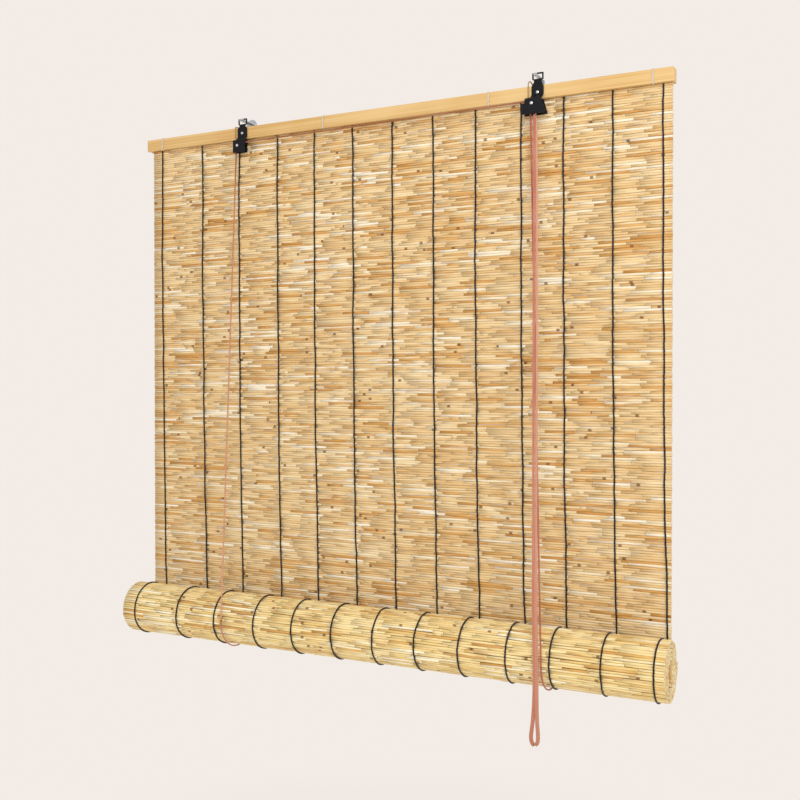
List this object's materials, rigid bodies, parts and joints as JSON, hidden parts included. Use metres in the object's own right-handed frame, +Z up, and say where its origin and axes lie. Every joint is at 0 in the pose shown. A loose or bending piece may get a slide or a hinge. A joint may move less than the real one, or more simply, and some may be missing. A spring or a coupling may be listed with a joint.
{
  "type": "roll-up reed blind",
  "caption": "Natural reed roll-up blind on a wooden head rail, half rolled up, with a pulley block, a cord lock and a hanging pull loop.",
  "frame": {"origin": "in the wall's plane, at the middle of the roll's length and level with the top of the head rail", "axes": "+X to the right along the head rail as seen from the room, -Y out of the wall into the room, +Z up"},
  "size_m": [1.2105, 0.1431, 1.2438],
  "materials": {
    "batten": "pale bamboo, thin satin lacquer",
    "tie": "cream cotton band",
    "reed": "dried reed stems, natural straw colour with orange brown and whitish streaks",
    "warp": "black twisted warp cord",
    "cord": "salmon braided cord",
    "tan_cord": "tan twine",
    "enamel": "black enamel on sheet steel",
    "nylon": "black nylon",
    "steel": "bright zinc-plated steel",
    "galvanised": "galvanised steel"
  },
  "bodies": {
    "head_rail": {"front_batten": "batten", "rear_batten": "batten", "batten_tie_1": "tie", "batten_tie_2": "tie", "batten_tie_3": "tie", "batten_tie_4": "tie", "reed_sheet": "reed", "warp_cord_01": "warp", "warp_cord_02": "warp", "warp_cord_03": "warp", "warp_cord_04": "warp", "warp_cord_05": "warp", "warp_cord_06": "warp", "warp_cord_07": "warp", "warp_cord_08": "warp", "warp_cord_09": "warp", "warp_cord_10": "warp", "warp_cord_11": "warp", "warp_cord_12": "warp", "warp_cord_13": "warp", "left_wall_bracket": "galvanised", "right_wall_bracket": "galvanised", "left_block_strap": "enamel", "left_block_cheek": "enamel", "lock_strap": "enamel", "lock_cheek": "enamel", "left_block_axle": "steel", "left_block_screw": "steel", "lock_axle": "steel", "lock_screw": "steel", "cross_cord": "cord", "lock_cord_turn": "cord", "left_lift_strand": "cord", "right_lift_strand": "cord", "left_rear_strand": "cord", "right_rear_strand": "cord", "pull_cord": "cord", "left_rail_loop": "tan_cord", "right_rail_loop": "tan_cord"},
    "cord_sling": {"left_roll_sling": "cord", "right_roll_sling": "cord"},
    "roll": {"reed_roll": "reed", "bottom_batten": "batten", "roll_warp_01": "warp", "roll_warp_02": "warp", "roll_warp_03": "warp", "roll_warp_04": "warp", "roll_warp_05": "warp", "roll_warp_06": "warp", "roll_warp_07": "warp", "roll_warp_08": "warp", "roll_warp_09": "warp", "roll_warp_10": "warp", "roll_warp_11": "warp", "roll_warp_12": "warp", "roll_warp_13": "warp"},
    "left_sheave": {"left_sheave": "nylon"},
    "lock_sheave_front": {"lock_sheave_front": "nylon"},
    "lock_sheave_rear": {"lock_sheave_rear": "nylon"},
    "lock_cam": {"lock_cam": "nylon"}
  },
  "joints": [
    {"name": "roll_lift", "type": "slide", "parent": "head_rail", "child": "cord_sling", "axis": [0, 0, 1], "range_m": [0, 0.925], "deforming": ["reed_sheet", "warp_cord_01", "warp_cord_02", "warp_cord_03", "warp_cord_04", "warp_cord_05", "warp_cord_06", "warp_cord_07", "warp_cord_08", "warp_cord_09", "warp_cord_10", "warp_cord_11", "warp_cord_12", "warp_cord_13", "left_lift_strand", "right_lift_strand", "left_rear_strand", "right_rear_strand", "pull_cord"]},
    {"name": "roll_turn", "type": "hinge", "parent": "cord_sling", "child": "roll", "pos_m": [0, -0.0798, -1.07], "axis": [1, 0, 0], "range_deg": [-906.96, 0]},
    {"name": "left_sheave_turn", "type": "hinge", "parent": "head_rail", "child": "left_sheave", "pos_m": [-0.3495, -0.0408, -0.041], "axis": [0, 1, 0], "continuous": true},
    {"name": "lock_sheave_front_turn", "type": "hinge", "parent": "head_rail", "child": "lock_sheave_front", "pos_m": [0.3308, -0.0462, -0.0363], "axis": [0, 1, 0], "continuous": true},
    {"name": "lock_sheave_rear_turn", "type": "hinge", "parent": "head_rail", "child": "lock_sheave_rear", "pos_m": [0.3308, -0.0405, -0.0363], "axis": [0, 1, 0], "continuous": true},
    {"name": "lock_cam_turn", "type": "hinge", "parent": "head_rail", "child": "lock_cam", "pos_m": [0.346, -0.0436, -0.047], "axis": [0, 1, 0], "range_deg": [-35, 0]}
  ],
  "couplings": [
    {"joint": "roll_turn", "follows": "roll_lift", "rad_per_m": -17.094},
    {"joint": "left_sheave_turn", "follows": "roll_lift", "rad_per_m": 333.33},
    {"joint": "lock_sheave_front_turn", "follows": "roll_lift", "rad_per_m": 400},
    {"joint": "lock_sheave_rear_turn", "follows": "roll_lift", "rad_per_m": 400}
  ]
}
